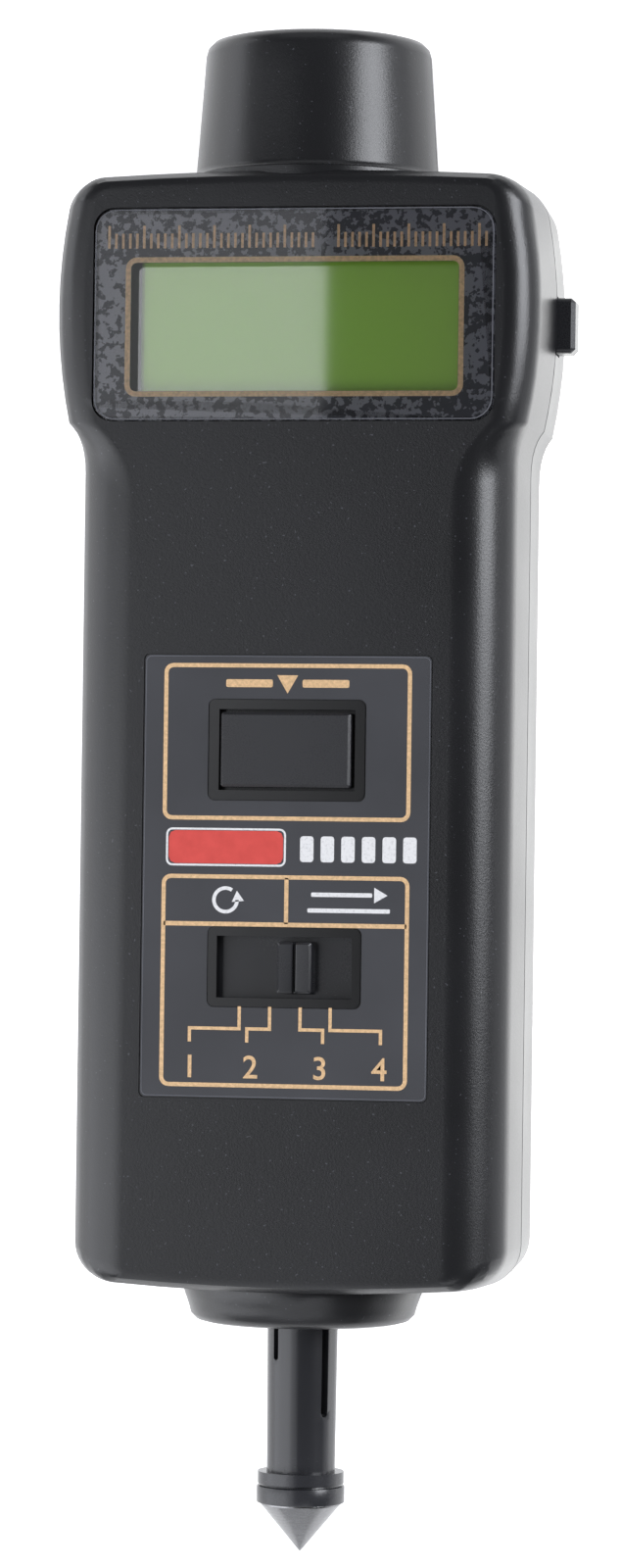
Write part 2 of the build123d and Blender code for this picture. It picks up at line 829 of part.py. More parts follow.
bore_depth = button_switch_height - plunger_floor
with BuildPart() as key_switch:
    switch_top = board_front_z + button_switch_height
    bore_bottom = switch_top - bore_depth
    add(slab(button_switch_size, button_switch_size, board_front_z, switch_top, (0, key_y)))
    add(peg(plunger_radius + plunger_gap, bore_bottom, switch_top, (0, key_y)), mode=Mode.SUBTRACT)
save(key_switch.part, "key_switch")

with BuildPart() as key_plunger:
    plunger_start = bore_bottom + key_travel + plunger_spare
    add(peg(plunger_radius, plunger_start, plunger_end_z, (0, key_y)))
save(key_plunger.part, "key_plunger")

# Range switch: a sealing plate with a knob slides under the face and carries the lever of the switch.
plate_top = ceiling_z - key_rest_gap
plate_bottom = plate_top - slide_plate_thickness
knob_top = case_depth + knob_proud
can_top = board_front_z + slide_can_height
lever_bottom = board_front_z + lever_lift
lever_top = plate_bottom - lever_headroom
lever_travel = 3 * knob_pitch
socket_bottom = can_top + socket_lift
knob_place = (knob_rest, switch_y)
with BuildPart() as switch_cap:
    socket = lever_size + 2 * socket_wall
    pocket = lever_size + 2 * lever_gap
    add(slab(slide_plate_width, slide_plate_height, plate_bottom, plate_top, knob_place))
    add(slab(socket, socket, socket_bottom, plate_bottom, knob_place))
    add(slab(knob_width, knob_height, plate_top, knob_top, knob_place))
    chamfer(switch_cap.faces().sort_by(Axis.Z)[-1].edges(), knob_bevel)
    groove_bottom = knob_top - knob_groove_depth
    add(slab(knob_groove, knob_height, groove_bottom, knob_top, knob_place), mode=Mode.SUBTRACT)
    add(slab(pocket, pocket, socket_bottom, lever_top + lever_gap, knob_place), mode=Mode.SUBTRACT)
save(switch_cap.part, "switch_cap")

with BuildPart() as switch_lever:
    add(slab(lever_size, lever_size, lever_bottom, lever_top, knob_place))
    add(slab(slider_length, slider_width, lever_bottom, lever_bottom + slider_height, knob_place))
save(switch_lever.part, "switch_lever")

with BuildPart() as slide_switch:
    inner_length = slide_can_length - 2 * can_wall
    inner_width = slide_can_width - 2 * can_wall
    add(slab(slide_can_length, slide_can_width, board_front_z, can_top, (0, switch_y)))
    add(
        slab(inner_length, inner_width, board_front_z + can_wall, can_top - can_wall, (0, switch_y)),
        mode=Mode.SUBTRACT,
    )
    slot_length = lever_travel + lever_size + 2 * lever_gap
    slot_width = lever_size + 2 * lever_gap
    add(slab(slot_length, slot_width, can_top - can_wall, can_top, (0, switch_y)), mode=Mode.SUBTRACT)
save(slide_switch.part, "slide_switch")

# Side key in the right wall of the head, with its own small board, switch and plunger.
side_key_z = (side_key_top + side_key_bottom) / 2
side_key_end = head_width / 2 + side_key_proud


def side_block(width, height, start, end, corner=0.0):
    """A block that points out of the head's right side, between two places on X."""
    with BuildPart() as block:
        with BuildSketch(Plane.YZ.offset(start)):
            with Locations((side_key_y, side_key_z)):
                if corner > 0:
                    RectangleRounded(width, height, corner)
                else:
                    Rectangle(width, height)
        extrude(amount=end - start)
    return block.part


def side_peg(radius, start, end):
    """A round bar that points out of the head's right side, between two places on X."""
    with BuildPart() as bar:
        with Locations(Location(((start + end) / 2, side_key_y, side_key_z), (0, 90, 0))):
            Cylinder(radius, end - start)
    return bar.part


side_flange_end = head_width / 2 - wall - side_flange_gap
side_flange_start = side_flange_end - key_flange_thickness
side_board_end = side_flange_end - side_board_setback
side_switch_end = side_board_end + button_switch_height
side_bore_start = side_switch_end - bore_depth
with BuildPart() as side_key:
    add(side_block(side_key_length, side_key_depth, side_flange_start, side_key_end, 0.8))
    chamfer(side_key.faces().sort_by(Axis.X)[-1].edges(), side_key_bevel)
    flange_size = side_key_length + 2 * key_flange
    add(side_block(flange_size, side_key_depth + 2 * key_flange, side_flange_start, side_flange_end))
save(side_key.part, "side_key")

with BuildPart() as side_plunger:
    add(side_peg(plunger_radius, side_bore_start + key_travel + plunger_spare, side_flange_start))
save(side_plunger.part, "side_plunger")

with BuildPart() as side_switch:
    add(side_block(button_switch_size, button_switch_size, side_board_end, side_switch_end))
    add(side_peg(plunger_radius + plunger_gap, side_bore_start, side_switch_end), mode=Mode.SUBTRACT)
save(side_switch.part, "side_switch")

with BuildPart() as side_board:
    place = (side_board_end - side_board_thickness / 2, side_key_y)
    side_board_bottom = side_key_z - side_board_drop
    add(slab(side_board_thickness, side_board_length, side_board_bottom, board_back_z, place))
save(side_board.part, "side_board")

# Light snout: a barrel with the lens, its retaining ring and the board with lamp and sensor.
throat = lens_radius - lens_shoulder
with BuildPart() as lens_holder:
    add(rod(barrel_radius, barrel_back, barrel_front))
    add(rod(lens_bore, lens_seat_y, barrel_front), mode=Mode.SUBTRACT)
    add(rod(throat, barrel_back, lens_seat_y), mode=Mode.SUBTRACT)
    add(slab(divider_thickness, divider_length, axis_z - throat, axis_z + throat, (0, divider_y)))
save(lens_holder.part, "lens_holder")

lens_front = lens_seat_y + lens_edge
crown_radius = (throat**2 + lens_crown**2) / (2 * lens_crown)
crown_center = (0, lens_front + lens_crown - crown_radius)
crown_start = degrees(asin((crown_radius - lens_crown) / crown_radius))
with BuildPart() as lens:
    with BuildSketch(Plane.XY.offset(axis_z)):
        with BuildLine():
            Polyline(
                (0, lens_seat_y),
                (lens_radius, lens_seat_y),
                (lens_radius, lens_front),
                *rounded_corner(crown_center, crown_radius, crown_start, 90),
                (0, lens_seat_y),
            )
        make_face()
    revolve(axis=long_axis)
save(lens.part, "lens")

with BuildPart() as lens_retainer:
    add(rod(lens_radius, lens_front, lens_front + retainer_length, inner=throat))
save(lens_retainer.part, "lens_retainer")

with BuildPart() as sensor_board:
    sensor_board_radius = barrel_radius - sensor_board_margin
    sensor_board_flat = axis_z - sensor_board_radius + sensor_board_cut
    board_start = barrel_back - board_thickness
    add(rod(sensor_board_radius, board_start, barrel_back))
    flat_place = (0, (board_start + barrel_back) / 2)
    flat = slab(2 * sensor_board_radius, board_thickness, 0, sensor_board_flat, flat_place)
    add(flat, mode=Mode.SUBTRACT)
save(sensor_board.part, "sensor_board")

for name, side in (("lamp", -1), ("photo_sensor", 1)):
    middle_x = side * lamp_offset
    dome_center = (middle_x, barrel_back + lamp_length - lamp_radius)
    with BuildPart() as bulb:
        with BuildSketch(Plane.XY.offset(axis_z)):
            with BuildLine():
                Polyline(
                    (middle_x, barrel_back),
                    (middle_x + lamp_radius, barrel_back),
                    *rounded_corner(dome_center, lamp_radius, 0, 90),
                    (middle_x, barrel_back),
                )
            make_face()
        revolve(axis=Axis((middle_x, 0, axis_z), (0, 1, 0)))
    save(bulb.part, name)

# Contact drive: the shaft runs in two bushes and turns a slotted disc in a light barrier.
bush_outer_y = -collar_end + sleeve_recess_depth
bush_inner_y = bush_outer_y + front_bush_length
thrust_end = bush_outer_y - axial_play
shaft_outer_end = -collar_end - shaft_reach
with BuildPart() as front_bush:
    bore = shaft_radius + running_clearance
    add(rod(front_bush_radius, bush_outer_y, bush_inner_y, inner=bore))
save(front_bush.part, "front_bush")

with BuildPart() as contact_shaft:
    add(rod(shaft_radius, shaft_outer_end, rear_bush_end + shaft_stand))
    add(rod(thrust_flange_radius, thrust_end - thrust_flange_length, thrust_end))
save(contact_shaft.part, "contact_shaft")

with BuildPart() as shaft_clip:
    clip_start = bush_inner_y + axial_play
    add(rod(clip_radius, clip_start, clip_start + clip_thickness, inner=shaft_radius))
    gap_place = (0, clip_start + clip_thickness / 2)
    add(slab(shaft_radius, clip_thickness, axis_z, axis_z + clip_radius, gap_place), mode=Mode.SUBTRACT)
save(shaft_clip.part, "shaft_clip")

with BuildPart() as encoder_disc:
    disc_start = disc_y - disc_thickness / 2
    disc_end = disc_y + disc_thickness / 2
    add(rod(disc_radius, disc_start, disc_end))
    with Locations(Location((0, disc_y, axis_z), (90, 0, 0))):
        with PolarLocations(disc_radius - disc_window_inset, disc_windows):
            Box(disc_window_length, disc_window_width, 2 * disc_thickness, mode=Mode.SUBTRACT)
    add(rod(disc_hub_radius, disc_y - disc_hub_length / 2, disc_y + disc_hub_length / 2))
    add(rod(shaft_radius, disc_y - disc_hub_length, disc_y + disc_hub_length), mode=Mode.SUBTRACT)
save(encoder_disc.part, "encoder_disc")

with BuildPart() as rear_bush:
    add(rod(rear_bush_radius, rear_bush_start, rear_bush_end, inner=shaft_radius + running_clearance))
save(rear_bush.part, "rear_bush")

with BuildPart() as bearing_bracket:
    base_middle = rear_bush_end - bracket_base_length / 2
    base_top = back_wall + bracket_base
    add(slab(bracket_base_width, bracket_base_length, back_wall, base_top, (0, base_middle)))
    web_middle = (rear_bush_start + rear_bush_end) / 2
    add(slab(bracket_width, rear_bush_length, back_wall, axis_z + bracket_rise, (0, web_middle)))
    add(rod(rear_bush_radius, rear_bush_start, rear_bush_end), mode=Mode.SUBTRACT)
save(bearing_bracket.part, "bearing_bracket")

with BuildPart() as pickup_board:
    pickup_board_top = pickup_board_z + board_thickness
    add(slab(pickup_board_width, pickup_board_length, pickup_board_z, pickup_board_top, pickup_post))
save(pickup_board.part, "pickup_board")

with BuildPart() as photo_interrupter:
    pickup_top = axis_z + pickup_rise
    pickup_width = pickup_end - pickup_start
    pickup_place = ((pickup_start + pickup_end) / 2, disc_y)
    add(slab(pickup_width, pickup_length, pickup_board_top, pickup_top, pickup_place))
    slot_depth = pickup_width - pickup_web
    slot_middle = (pickup_end - slot_depth / 2, disc_y)
    add(slab(slot_depth, pickup_slot, pickup_board_top, pickup_top, slot_middle), mode=Mode.SUBTRACT)
save(photo_interrupter.part, "photo_interrupter")

# Contact adapter: a sleeve with four slots that grips the shaft, a ring, and a cone whose spigot
# goes through the ring into the sleeve.
tip_y = -collar_end - adapter_reach
sleeve_start = -collar_end + sleeve_engagement
sleeve_end = tip_y + cone_length + tip_shoulder + tip_flange_length + tip_groove
sleeve_flange_start = sleeve_end + sleeve_flange_length
with BuildPart() as adapter_sleeve:
    with BuildSketch(Plane.XY.offset(axis_z)):
        with BuildLine():
            Polyline(
                (0, sleeve_start),
                (sleeve_radius, sleeve_start),
                (sleeve_foot_radius, sleeve_flange_start),
                (sleeve_flange_radius, sleeve_flange_start),
                (sleeve_flange_radius, sleeve_end),
                (0, sleeve_end),
                (0, sleeve_start),
            )
        make_face()
    revolve(axis=long_axis)
    bore_end = shaft_outer_end - shaft_end_gap
    add(rod(shaft_radius + running_clearance, bore_end, sleeve_start), mode=Mode.SUBTRACT)
    add(rod(tip_spigot_radius + running_clearance, sleeve_end, bore_end), mode=Mode.SUBTRACT)
    for turn, width, length in (
        (slot_turn, short_slot_width, short_slot_length),
        (slot_turn + slot_spread, long_slot_width, long_slot_length),
    ):
        facing = (sin(radians(turn)), 0, cos(radians(turn)))
        with BuildSketch(Plane((0, sleeve_start, axis_z), x_dir=(0, 1, 0), z_dir=facing)):
            SlotOverall(2 * length, width)
        extrude(amount=2 * sleeve_radius, both=True, mode=Mode.SUBTRACT)
save(adapter_sleeve.part, "adapter_sleeve")

groove_end = sleeve_end - tip_groove
ring_end = groove_end - tip_flange_length
with BuildPart() as tip_ring:
    with BuildSketch(Plane.XY.offset(axis_z)):
        with BuildLine():
            Polyline(
                (tip_spigot_radius, sleeve_end),
                (cone_base_radius, sleeve_end),
                (cone_base_radius, groove_end),
                (tip_flange_radius, groove_end),
                (tip_flange_radius, ring_end),
                (tip_spigot_radius, ring_end),
                (tip_spigot_radius, sleeve_end),
            )
        make_face()
    revolve(axis=long_axis)
save(tip_ring.part, "tip_ring")

with BuildPart() as cone_tip:
    with BuildSketch(Plane.XY.offset(axis_z)):
        with BuildLine():
            Polyline(
                (0, sleeve_end + tip_spigot_length),
                (tip_spigot_radius, sleeve_end + tip_spigot_length),
                (tip_spigot_radius, ring_end),
                (cone_base_radius, ring_end),
                (cone_base_radius, ring_end - tip_shoulder),
                (cone_tip_blunt, tip_y + cone_tip_blunt),
                (0, tip_y),
                (0, sleeve_end + tip_spigot_length),
            )
        make_face()
    revolve(axis=long_axis)
save(cone_tip.part, "cone_tip")

# Cells: two beside two, those on the left with their knob towards the snout, the others away from it.
cell_x = cell_radius + cell_gap / 2
left_cells_end = compartment_end - contact_thickness
right_cells_start = compartment_start + contact_thickness
cell_ends = (
    (-cell_x, left_cells_end, 1),
    (-cell_x, left_cells_end - cell_length, 1),
    (cell_x, right_cells_start, -1),
    (cell_x, right_cells_start + cell_length, -1),
)
for number, (x, end, way) in enumerate(cell_ends, start=1):
    far = end - way * cell_length
    neck = end - way * cell_nub_length
    with BuildPart() as cell:
        add(rod(cell_radius, min(neck, far), max(neck, far), (x, cell_z)))
        add(rod(cell_nub_radius, min(end, neck), max(end, neck), (x, cell_z)))
    save(cell.part, f"battery_{number}")


def leaf(x, start, way):
    """A bent leaf spring that stands out from a contact plate, one way along Y, to meet a cell's end."""
    low, high = cell_z - leaf_height / 2, cell_z + leaf_height / 2
    crest = start + way * spring_room
    inner = crest - way * 2 * leaf_thickness
    with BuildPart() as strip:
        with BuildSketch(Plane.YZ.offset(x - leaf_width / 2)):
            with BuildLine():
                Polyline((start, low), (crest, cell_z), (start, high), close=False)
                Polyline((start, high), (start, high - 2 * leaf_thickness), (inner, cell_z))
                Polyline((inner, cell_z), (start, low + 2 * leaf_thickness), (start, low))
            make_face()
        extrude(amount=leaf_width)
    return strip.part


def contact_plate(x, y, width):
    """A thin upright contact plate across the end of the compartment."""
    low, high = cell_z - contact_half_height, cell_z + contact_half_height
    return slab(width, contact_thickness, low, high, (x, y))


bottom_plate_y = compartment_start + contact_thickness / 2
top_plate_y = compartment_end - contact_thickness / 2
with BuildPart() as positive_contact:
    add(contact_plate(cell_x, bottom_plate_y, contact_width))
save(positive_contact.part, "positive_contact")

with BuildPart() as negative_contact:
    add(contact_plate(-cell_x, bottom_plate_y, contact_width))
    add(leaf(-cell_x, right_cells_start, 1))
save(negative_contact.part, "negative_contact")

with BuildPart() as bridge_contact:
    add(contact_plate(0, top_plate_y, contact_width + 2 * cell_x))
    add(leaf(cell_x, left_cells_end, -1))
save(bridge_contact.part, "bridge_contact")
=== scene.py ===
"""A hand-held tachometer that lies on its back on a pale surface, seen from above its contact end."""

import bmesh
import bpy
import json
from math import atan2, pi, radians
from mathutils import Matrix, Vector

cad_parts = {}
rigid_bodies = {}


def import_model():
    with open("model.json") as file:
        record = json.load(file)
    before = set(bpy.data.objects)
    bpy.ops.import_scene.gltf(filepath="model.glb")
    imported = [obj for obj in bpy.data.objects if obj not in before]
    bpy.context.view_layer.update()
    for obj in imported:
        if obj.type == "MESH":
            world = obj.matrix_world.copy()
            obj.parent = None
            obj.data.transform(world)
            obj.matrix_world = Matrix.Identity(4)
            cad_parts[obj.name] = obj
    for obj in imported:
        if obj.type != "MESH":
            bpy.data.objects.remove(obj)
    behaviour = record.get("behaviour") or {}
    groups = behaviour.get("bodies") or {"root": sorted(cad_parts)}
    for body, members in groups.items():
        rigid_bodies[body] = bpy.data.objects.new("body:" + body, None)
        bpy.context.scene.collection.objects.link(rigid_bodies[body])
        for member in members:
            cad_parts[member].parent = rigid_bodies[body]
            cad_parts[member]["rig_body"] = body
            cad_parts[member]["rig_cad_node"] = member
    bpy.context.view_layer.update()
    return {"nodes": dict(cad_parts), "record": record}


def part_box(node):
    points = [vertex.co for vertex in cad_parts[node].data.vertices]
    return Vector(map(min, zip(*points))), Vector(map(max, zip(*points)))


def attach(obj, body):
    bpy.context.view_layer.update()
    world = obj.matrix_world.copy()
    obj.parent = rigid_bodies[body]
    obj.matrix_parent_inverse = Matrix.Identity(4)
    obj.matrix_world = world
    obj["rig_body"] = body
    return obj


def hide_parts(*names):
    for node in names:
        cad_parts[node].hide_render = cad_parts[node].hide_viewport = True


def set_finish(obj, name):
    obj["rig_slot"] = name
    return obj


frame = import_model()

# The case's two halves are black moulded plastic with a fine spark-eroded skin. Four long screws from
# the back pull them together, and a shallow groove marks where they meet. The battery cover is moulded
# from the same plastic.
MM = 0.001


class Field:
    """A value or colour that varies over a surface. Arithmetic on it adds the nodes that work it out."""

    def __init__(self, finish, socket):
        self.finish = finish
        self.socket = socket

    def __add__(self, other):
        return self.finish.math("ADD", self, other)

    def __mul__(self, other):
        return self.finish.math("MULTIPLY", self, other)

    def __sub__(self, other):
        return self.finish.math("SUBTRACT", self, other)

    def __rsub__(self, other):
        return self.finish.math("SUBTRACT", other, self)

    def __gt__(self, limit):
        return self.finish.math("GREATER_THAN", self, limit)

    def __lt__(self, limit):
        return self.finish.math("LESS_THAN", self, limit)

    __radd__ = __add__
    __rmul__ = __mul__


class Finish:
    """One material: its nodes are added with node(), its surface is set with surface()."""

    def __init__(self, name):
        self.material = bpy.data.materials.new(name)
        self.material.use_nodes = True
        self.tree = self.material.node_tree
        self.shader = self.tree.nodes["Principled BSDF"]
        self.place = self.node("ShaderNodeTexCoord", output="Object")

    def feed(self, socket, value):
        """Links a field to a socket, or sets the socket to a plain value."""
        if isinstance(value, Field):
            self.tree.links.new(value.socket, socket)
        else:
            socket.default_value = value

    def node(self, kind, settings=None, values=None, output=0):
        """Adds a node with its settings and its sockets' values, and gives back one of its outputs."""
        made = self.tree.nodes.new(kind)
        for name, setting in (settings or {}).items():
            if name == "stops":
                ramp = made.color_ramp
                while len(ramp.elements) < len(setting):
                    ramp.elements.new(0.5)
                for element, (position, colour) in zip(ramp.elements, setting):
                    element.position = position
                    element.color = colour
            else:
                setattr(made, name, setting)
        for name, value in (values or {}).items():
            self.feed(made.inputs[name], value)
        return Field(self, made.outputs[output])

    def math(self, operation, *values):
        return self.node("ShaderNodeMath", {"operation": operation}, dict(enumerate(values)))

    def noise(self, size, detail=2.0, rough=0.5, place=None):
        """Soft noise whose blotches are about this size in millimetres."""
        values = {"Vector": place or self.place, "Scale": 1 / (size * MM)}
        return self.node("ShaderNodeTexNoise", None, {**values, "Detail": detail, "Roughness": rough})

    def ramp(self, value, dark, light, low=0.3, high=0.7):
        """One colour where the value is low, the other where it is high, and a soft change between."""
        stops = ((low, dark), (high, light))
        return self.node("ShaderNodeValToRGB", {"stops": stops}, {"Fac": value}, "Color")

    def limit(self, value, low, high, start=0.0, end=1.0):
        """Value taken from low..high to start..end, and kept there."""
        values = {"Value": value, "From Min": low, "From Max": high, "To Min": start, "To Max": end}
        return self.node("ShaderNodeMapRange", None, values)

    def axis(self, index):
        """One of the three coordinates, in metres."""
        return self.node("ShaderNodeSeparateXYZ", None, {"Vector": self.place}, index)

    def mix(self, factor, first, second):
        """One colour where factor is 0 and the other where it is 1."""
        return self.node("ShaderNodeMix", {"data_type": "RGBA"}, {0: factor, 6: first, 7: second}, 2)

    def bump(self, height, depth):
        """A normal from a height field; depth is in millimetres."""
        return self.node("ShaderNodeBump", None, {"Height": height, "Distance": depth * MM}, "Normal")

    def surface(self, **values):
        """Sets or links the shader's sockets, and gives back the material."""
        for name, value in values.items():
            self.feed(self.shader.inputs[name.replace("_", " ")], value)
        return self.material


def shade(colour, share=1.0):
    """A colour made darker or lighter, with no see-through."""
    return (*[value * share for value in colour], 1)


def grey(value):
    """Black plastic's grey, a little cool."""
    return shade((0.97, 1.0, 1.16), value)


def moulded(name, tone, rough, grain=0.22, depth=0.012):
    """Moulded plastic: an even tone with faint clouds, and a fine grain in its height and its gloss."""
    finish = Finish(name)
    clouds = finish.noise(18.0, 3.0)
    grains = finish.noise(grain, 2.0, 0.6)
    return finish.surface(
        Base_Color=finish.ramp(clouds, grey(tone * 0.85), grey(tone * 1.15)),
        Roughness=finish.limit(clouds + grains * 0.5, 0.4, 1.1, rough - 0.05, rough + 0.06),
        Normal=finish.bump(grains, depth),
    )


def deselect():
    if bpy.context.object and bpy.context.object.mode != "OBJECT":
        bpy.ops.object.mode_set(mode="OBJECT")
    bpy.ops.object.select_all(action="DESELECT")


def middle(node):
    """The middle of a solid's box, at rest."""
    low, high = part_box(node)
    return [(start + end) / 2 for start, end in zip(low, high)]


def body_of(node):
    """The body that carries a solid."""
    for name, nodes in frame["record"]["behaviour"]["bodies"].items():
        if node in nodes:
            return name


def slot_of(node):
    """The record's material slot of a solid."""
    for entry in frame["record"]["subparts"]:
        if entry["node"] == node:
            return entry["material_slot"]


def finished(piece, body, material):
    """Gives a piece its material and its body."""
    piece.data.materials.clear()
    piece.data.materials.append(material)
    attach(piece, body)


def stand_in(piece, node, material):
    """Gives a piece its material and puts it in the place of a solid."""
    finished(piece, body_of(node), material)
    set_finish(piece, slot_of(node))
    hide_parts(node)


def ease(piece, width, sharper_than):
    """Rounds a piece's edges by some millimetres, where they are sharper than some degrees."""
    eased = piece.modifiers.new("eased", "BEVEL")
    eased.width = width * MM
    eased.segments = 2
    eased.limit_method = "ANGLE"
    eased.angle_limit = radians(sharper_than)
    bpy.ops.object.modifier_apply(modifier=eased.name)


def smooth():
    """Shades the active piece's faces as one curve where they meet at less than 32 degrees."""
    bpy.ops.object.shade_smooth_by_angle(angle=radians(32))


def skin(node, material, edge=0.0):
    """A copy of a solid, its corners joined, its curves smooth, its edges eased by some millimetres."""
    piece = frame["nodes"][node].copy()
    piece.data = piece.data.copy()
    piece.name = node + "_skin"
    piece.parent = None
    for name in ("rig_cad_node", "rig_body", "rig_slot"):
        if name in piece:
            del piece[name]
    bpy.context.scene.collection.objects.link(piece)
    deselect()
    piece.select_set(True)
    bpy.context.view_layer.objects.active = piece
    bpy.ops.mesh.customdata_custom_splitnormals_clear()
    bpy.ops.object.mode_set(mode="EDIT")
    bpy.ops.mesh.select_all(action="SELECT")
    bpy.ops.mesh.remove_doubles(threshold=0.002 * MM)
    bpy.ops.mesh.dissolve_limited(angle_limit=radians(0.2))
    bpy.ops.object.mode_set(mode="OBJECT")
    if edge:
        ease(piece, edge, 55)
    smooth()
    weighted = piece.modifiers.new("weighted", "WEIGHTED_NORMAL")
    weighted.keep_sharp = True
    weighted.weight = 80
    bpy.ops.object.modifier_apply(modifier=weighted.name)
    stand_in(piece, node, material)


key_y = middle("memory_key")[1]
switch_y = middle("switch_cap")[1]
frame_half_width = 11.05 * MM
key_frame_half = 7.0 * MM
switch_frame_half = 5.55 * MM
front_from = 30 * MM


def case_plastic():
    """Black case plastic with dust on it. Its two raised frames are polished, and a painted shade darkens
    them.
    """
    finish = Finish("case_plastic")
    clouds = finish.noise(22.0, 3.0)
    grains = finish.noise(0.3, 2.0, 0.6)
    dust = finish.noise(0.35, 0.0) > 0.82
    across = finish.math("ABSOLUTE", finish.axis(0))
    along = finish.axis(1)
    by_key = finish.math("ABSOLUTE", along - key_y) < key_frame_half
    by_switch = finish.math("ABSOLUTE", along - switch_y) < switch_frame_half
    front = finish.axis(2) > front_from
    frames = finish.math("MAXIMUM", by_key, by_switch) * (across < frame_half_width) * front
    dusty = finish.mix(dust * 0.5, finish.ramp(clouds, grey(0.0076), grey(0.0104)), grey(0.10))
    # Painted shade: the frames' colour is darkened for the dark room that their polish mirrors.
    return finish.surface(
        Base_Color=finish.mix(frames, dusty, grey(0.003)),
        Roughness=finish.limit(clouds + grains * 0.5, 0.4, 1.1, 0.27, 0.34) - frames * 0.14,
        Normal=finish.bump(grains * (1 - frames), 0.018),
    )


case_black = case_plastic()
for node in ("front_case", "rear_case", "battery_cover"):
    skin(node, case_black)

# The window is a clear panel glued into the head. Behind it lies a dark film, printed with a gold line
# round the display; that gold is painted lighter than the label's, as painted light for what the panel
# holds back.
# The glue has not wetted the film everywhere: there it mirrors light, painted as pale blotches round its
# rim.
window_low, window_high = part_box("window_panel")
window_middle = middle("window_panel")
film_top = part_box("window_mask")[1][2]


def clear(name, index, glued_below=-1.0, tint=(1, 1, 1, 1)):
    """Clear plastic or glass. Its outer face mirrors a little light; a glued face doesn't mirror any."""
    finish = Finish(name)
    through = finish.node("ShaderNodeBsdfTransparent", None, {"Color": tint})
    mirror = finish.node("ShaderNodeBsdfGlossy", None, {"Roughness": 0.03})
    share = finish.node("ShaderNodeFresnel", None, {"IOR": index}) * (finish.axis(2) > glued_below)
    both = finish.node("ShaderNodeMixShader", None, {0: share, 1: through, 2: mirror})
    finish.feed(finish.tree.nodes["Material Output"].inputs["Surface"], both)
    finish.tree.nodes.remove(finish.shader)
    return finish.material


def glued_film():
    """Dark film. Where its glue let go it mirrors light, shown as a painted pale reflection with dark
    spots.
    """
    finish = Finish("glued_film")
    from_middle = finish.math("ABSOLUTE", finish.axis(1) - window_middle[1])
    # The coat is made stronger on the left and round the rim, where the loose film mirrors the most light.
    left = finish.limit(finish.axis(0), window_high[0], window_low[0] + 8 * MM)
    rim = finish.limit(from_middle, 4 * MM, 13.5 * MM)
    bloom = finish.math("MAXIMUM", left, rim * 0.75)
    blotches = finish.noise(1.2, 3.0, 0.6) + finish.noise(5.0, 2.0) * 0.4
    # Painted reflection: the loose spots are coloured pale for the light that they mirror.
    pale = finish.limit(blotches, 0.685, 0.715)
    return finish.surface(
        Base_Color=finish.mix(pale, grey(0.09), grey(0.25)),
        Roughness=0.5,
        Specular_IOR_Level=0.0,
        Coat_Weight=(pale * 0.9 + 0.05) * (bloom * 0.36 + 0.1),
        Coat_Roughness=0.12,
        Coat_IOR=1.8,
    )


skin("window_mask", glued_film())
skin("window_panel", clear("clear_panel", 1.5, window_middle[2]), 0.16)


def gold_print(name, tone):
    """Printed gold ink: warm, satin, and slightly uneven where it was screened on."""
    finish = Finish(name)
    wear = finish.noise(0.5, 3.0, 0.7)
    return finish.surface(
        Base_Color=finish.ramp(wear, shade(tone, 0.75), shade(tone, 1.15)),
        Roughness=0.45,
        Metallic=0.1,
    )


# Painted light: the film's gold is made lighter than the label's to make up for the light the panel holds
# back.
film_gold_painted_light = gold_print("film_gold_painted_light", (0.85, 0.58, 0.34))
ink_height = 0.02 * MM


def new_plane(name, centre, width, height, base):
    """A flat rectangle with its size and place in its mesh, left in edit mode."""
    deselect()
    bpy.ops.mesh.primitive_plane_add(size=1, location=(centre[0], centre[1], base))
    piece = bpy.context.object
    piece.name = name
    piece.scale = (width, height, 1)
    bpy.ops.object.transform_apply(location=True, rotation=True, scale=True)
    bpy.ops.object.mode_set(mode="EDIT")
    bpy.ops.mesh.select_all(action="SELECT")
    return piece


def thicken(piece):
    """Gives a flat print the ink's height and turns its faces outwards."""
    bpy.ops.mesh.select_all(action="SELECT")
    bpy.ops.mesh.extrude_region_move(TRANSFORM_OT_translate={"value": (0, 0, ink_height)})
    bpy.ops.mesh.select_all(action="SELECT")
    bpy.ops.mesh.normals_make_consistent(inside=False)
    bpy.ops.object.mode_set(mode="OBJECT")
    return piece


def hollow(line):
    """Leaves only a line of the flat shape that is being edited, along its outline."""
    bpy.ops.mesh.select_mode(type="FACE")
    bpy.ops.mesh.select_all(action="SELECT")
    bpy.ops.mesh.inset(thickness=line, depth=0)
    bpy.ops.mesh.delete(type="FACE")


def print_frame(name, centre, width, height, line, corner, base):
    """A printed outline with round corners."""
    piece = new_plane(name, centre, width, height, base)
    bpy.ops.mesh.bevel(offset=corner, segments=5, affect="VERTICES")
    hollow(line)
    return thicken(piece)


def print_bar(name, centre, width, height, base, rounding=0.2):
    """A printed bar. Its corners are rounded by a share of its width, as ink draws them."""
    piece = new_plane(name, centre, width, height, base)
    if rounding:
        bpy.ops.mesh.bevel(offset=min(width, height) * rounding, segments=2, affect="VERTICES")
    return thicken(piece)


def join(name, pieces):
    """Joins printed marks into one piece."""
    deselect()
    for piece in pieces:
        piece.select_set(True)
    bpy.context.view_layer.objects.active = pieces[0]
    bpy.ops.object.join()
    pieces[0].name = name
    return pieces[0]


display_line = print_frame(
    "display_line",
    centre=middle("lcd_glass"),
    width=47.97 * MM,
    height=19.55 * MM,
    line=0.75 * MM,
    corner=1.6 * MM,
    base=film_top,
)
finished(display_line, "case", film_gold_painted_light)

